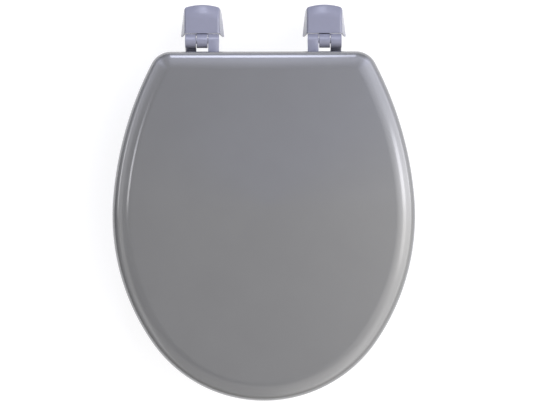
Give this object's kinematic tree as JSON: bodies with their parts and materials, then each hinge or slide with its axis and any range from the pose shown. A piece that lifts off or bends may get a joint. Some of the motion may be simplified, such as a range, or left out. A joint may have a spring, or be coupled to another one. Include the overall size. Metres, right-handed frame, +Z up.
{
  "type": "toilet seat",
  "caption": "Round closed-front toilet seat: painted wood lid and ring that turn up on plastic hinges with flip-up bolt caps and wing nuts.",
  "frame": {"origin": "midway between the two bolts, in the plane of the bowl's deck that the hinge bases stand on", "axes": "+Z up, -Y towards the seat's front, +X along the hinge axis"},
  "size_m": [0.345, 0.4525, 0.113],
  "materials": {
    "painted_wood": "gloss paint",
    "hinge_plastic": "gloss",
    "bolt_plastic": "satin",
    "pin_steel": "satin",
    "bumper_plastic": "matte",
    "screw_steel": "satin"
  },
  "bodies": {
    "mounting": {"hinge_base_left": "hinge_plastic", "hinge_base_right": "hinge_plastic", "hinge_pin_left": "pin_steel", "hinge_pin_right": "pin_steel", "bolt_left": "bolt_plastic", "bolt_right": "bolt_plastic", "washer_left": "bolt_plastic", "washer_right": "bolt_plastic"},
    "ring": {"seat_ring": "painted_wood", "ring_wing_left": "hinge_plastic", "ring_wing_right": "hinge_plastic", "ring_bumper_front_left": "bumper_plastic", "ring_bumper_front_right": "bumper_plastic", "ring_bumper_rear_left": "bumper_plastic", "ring_bumper_rear_right": "bumper_plastic", "ring_wing_screws": "screw_steel", "ring_bumper_nails": "screw_steel"},
    "lid": {"lid": "painted_wood", "lid_wing_left": "hinge_plastic", "lid_wing_right": "hinge_plastic", "lid_bumper_left": "bumper_plastic", "lid_bumper_right": "bumper_plastic", "lid_wing_screws": "screw_steel", "lid_bumper_nails": "screw_steel"},
    "cap_left": {"hinge_cap_left": "hinge_plastic"},
    "cap_right": {"hinge_cap_right": "hinge_plastic"},
    "nut_left": {"wing_nut_left": "bolt_plastic"},
    "nut_right": {"wing_nut_right": "bolt_plastic"}
  },
  "joints": [
    {"name": "ring_hinge", "type": "hinge", "parent": "mounting", "child": "ring", "pos_m": [0, -0.022, 0.022], "axis": [1, 0, 0], "range_deg": [-100, 0]},
    {"name": "lid_hinge", "type": "hinge", "parent": "ring", "child": "lid", "pos_m": [0, -0.022, 0.022], "axis": [-1, 0, 0], "range_deg": [0, 100]},
    {"name": "cap_left_pivot", "type": "hinge", "parent": "mounting", "child": "cap_left", "pos_m": [-0.07, 0.0134, 0.007], "axis": [-1, 0, 0], "range_deg": [0, 88]},
    {"name": "cap_right_pivot", "type": "hinge", "parent": "mounting", "child": "cap_right", "pos_m": [0.07, 0.0134, 0.007], "axis": [-1, 0, 0], "range_deg": [0, 88]},
    {"name": "nut_left_turn", "type": "hinge", "parent": "mounting", "child": "nut_left", "pos_m": [-0.07, 0, -0.037], "axis": [0, 0, 1], "continuous": true},
    {"name": "nut_right_turn", "type": "hinge", "parent": "mounting", "child": "nut_right", "pos_m": [0.07, 0, -0.037], "axis": [0, 0, 1], "continuous": true}
  ]
}
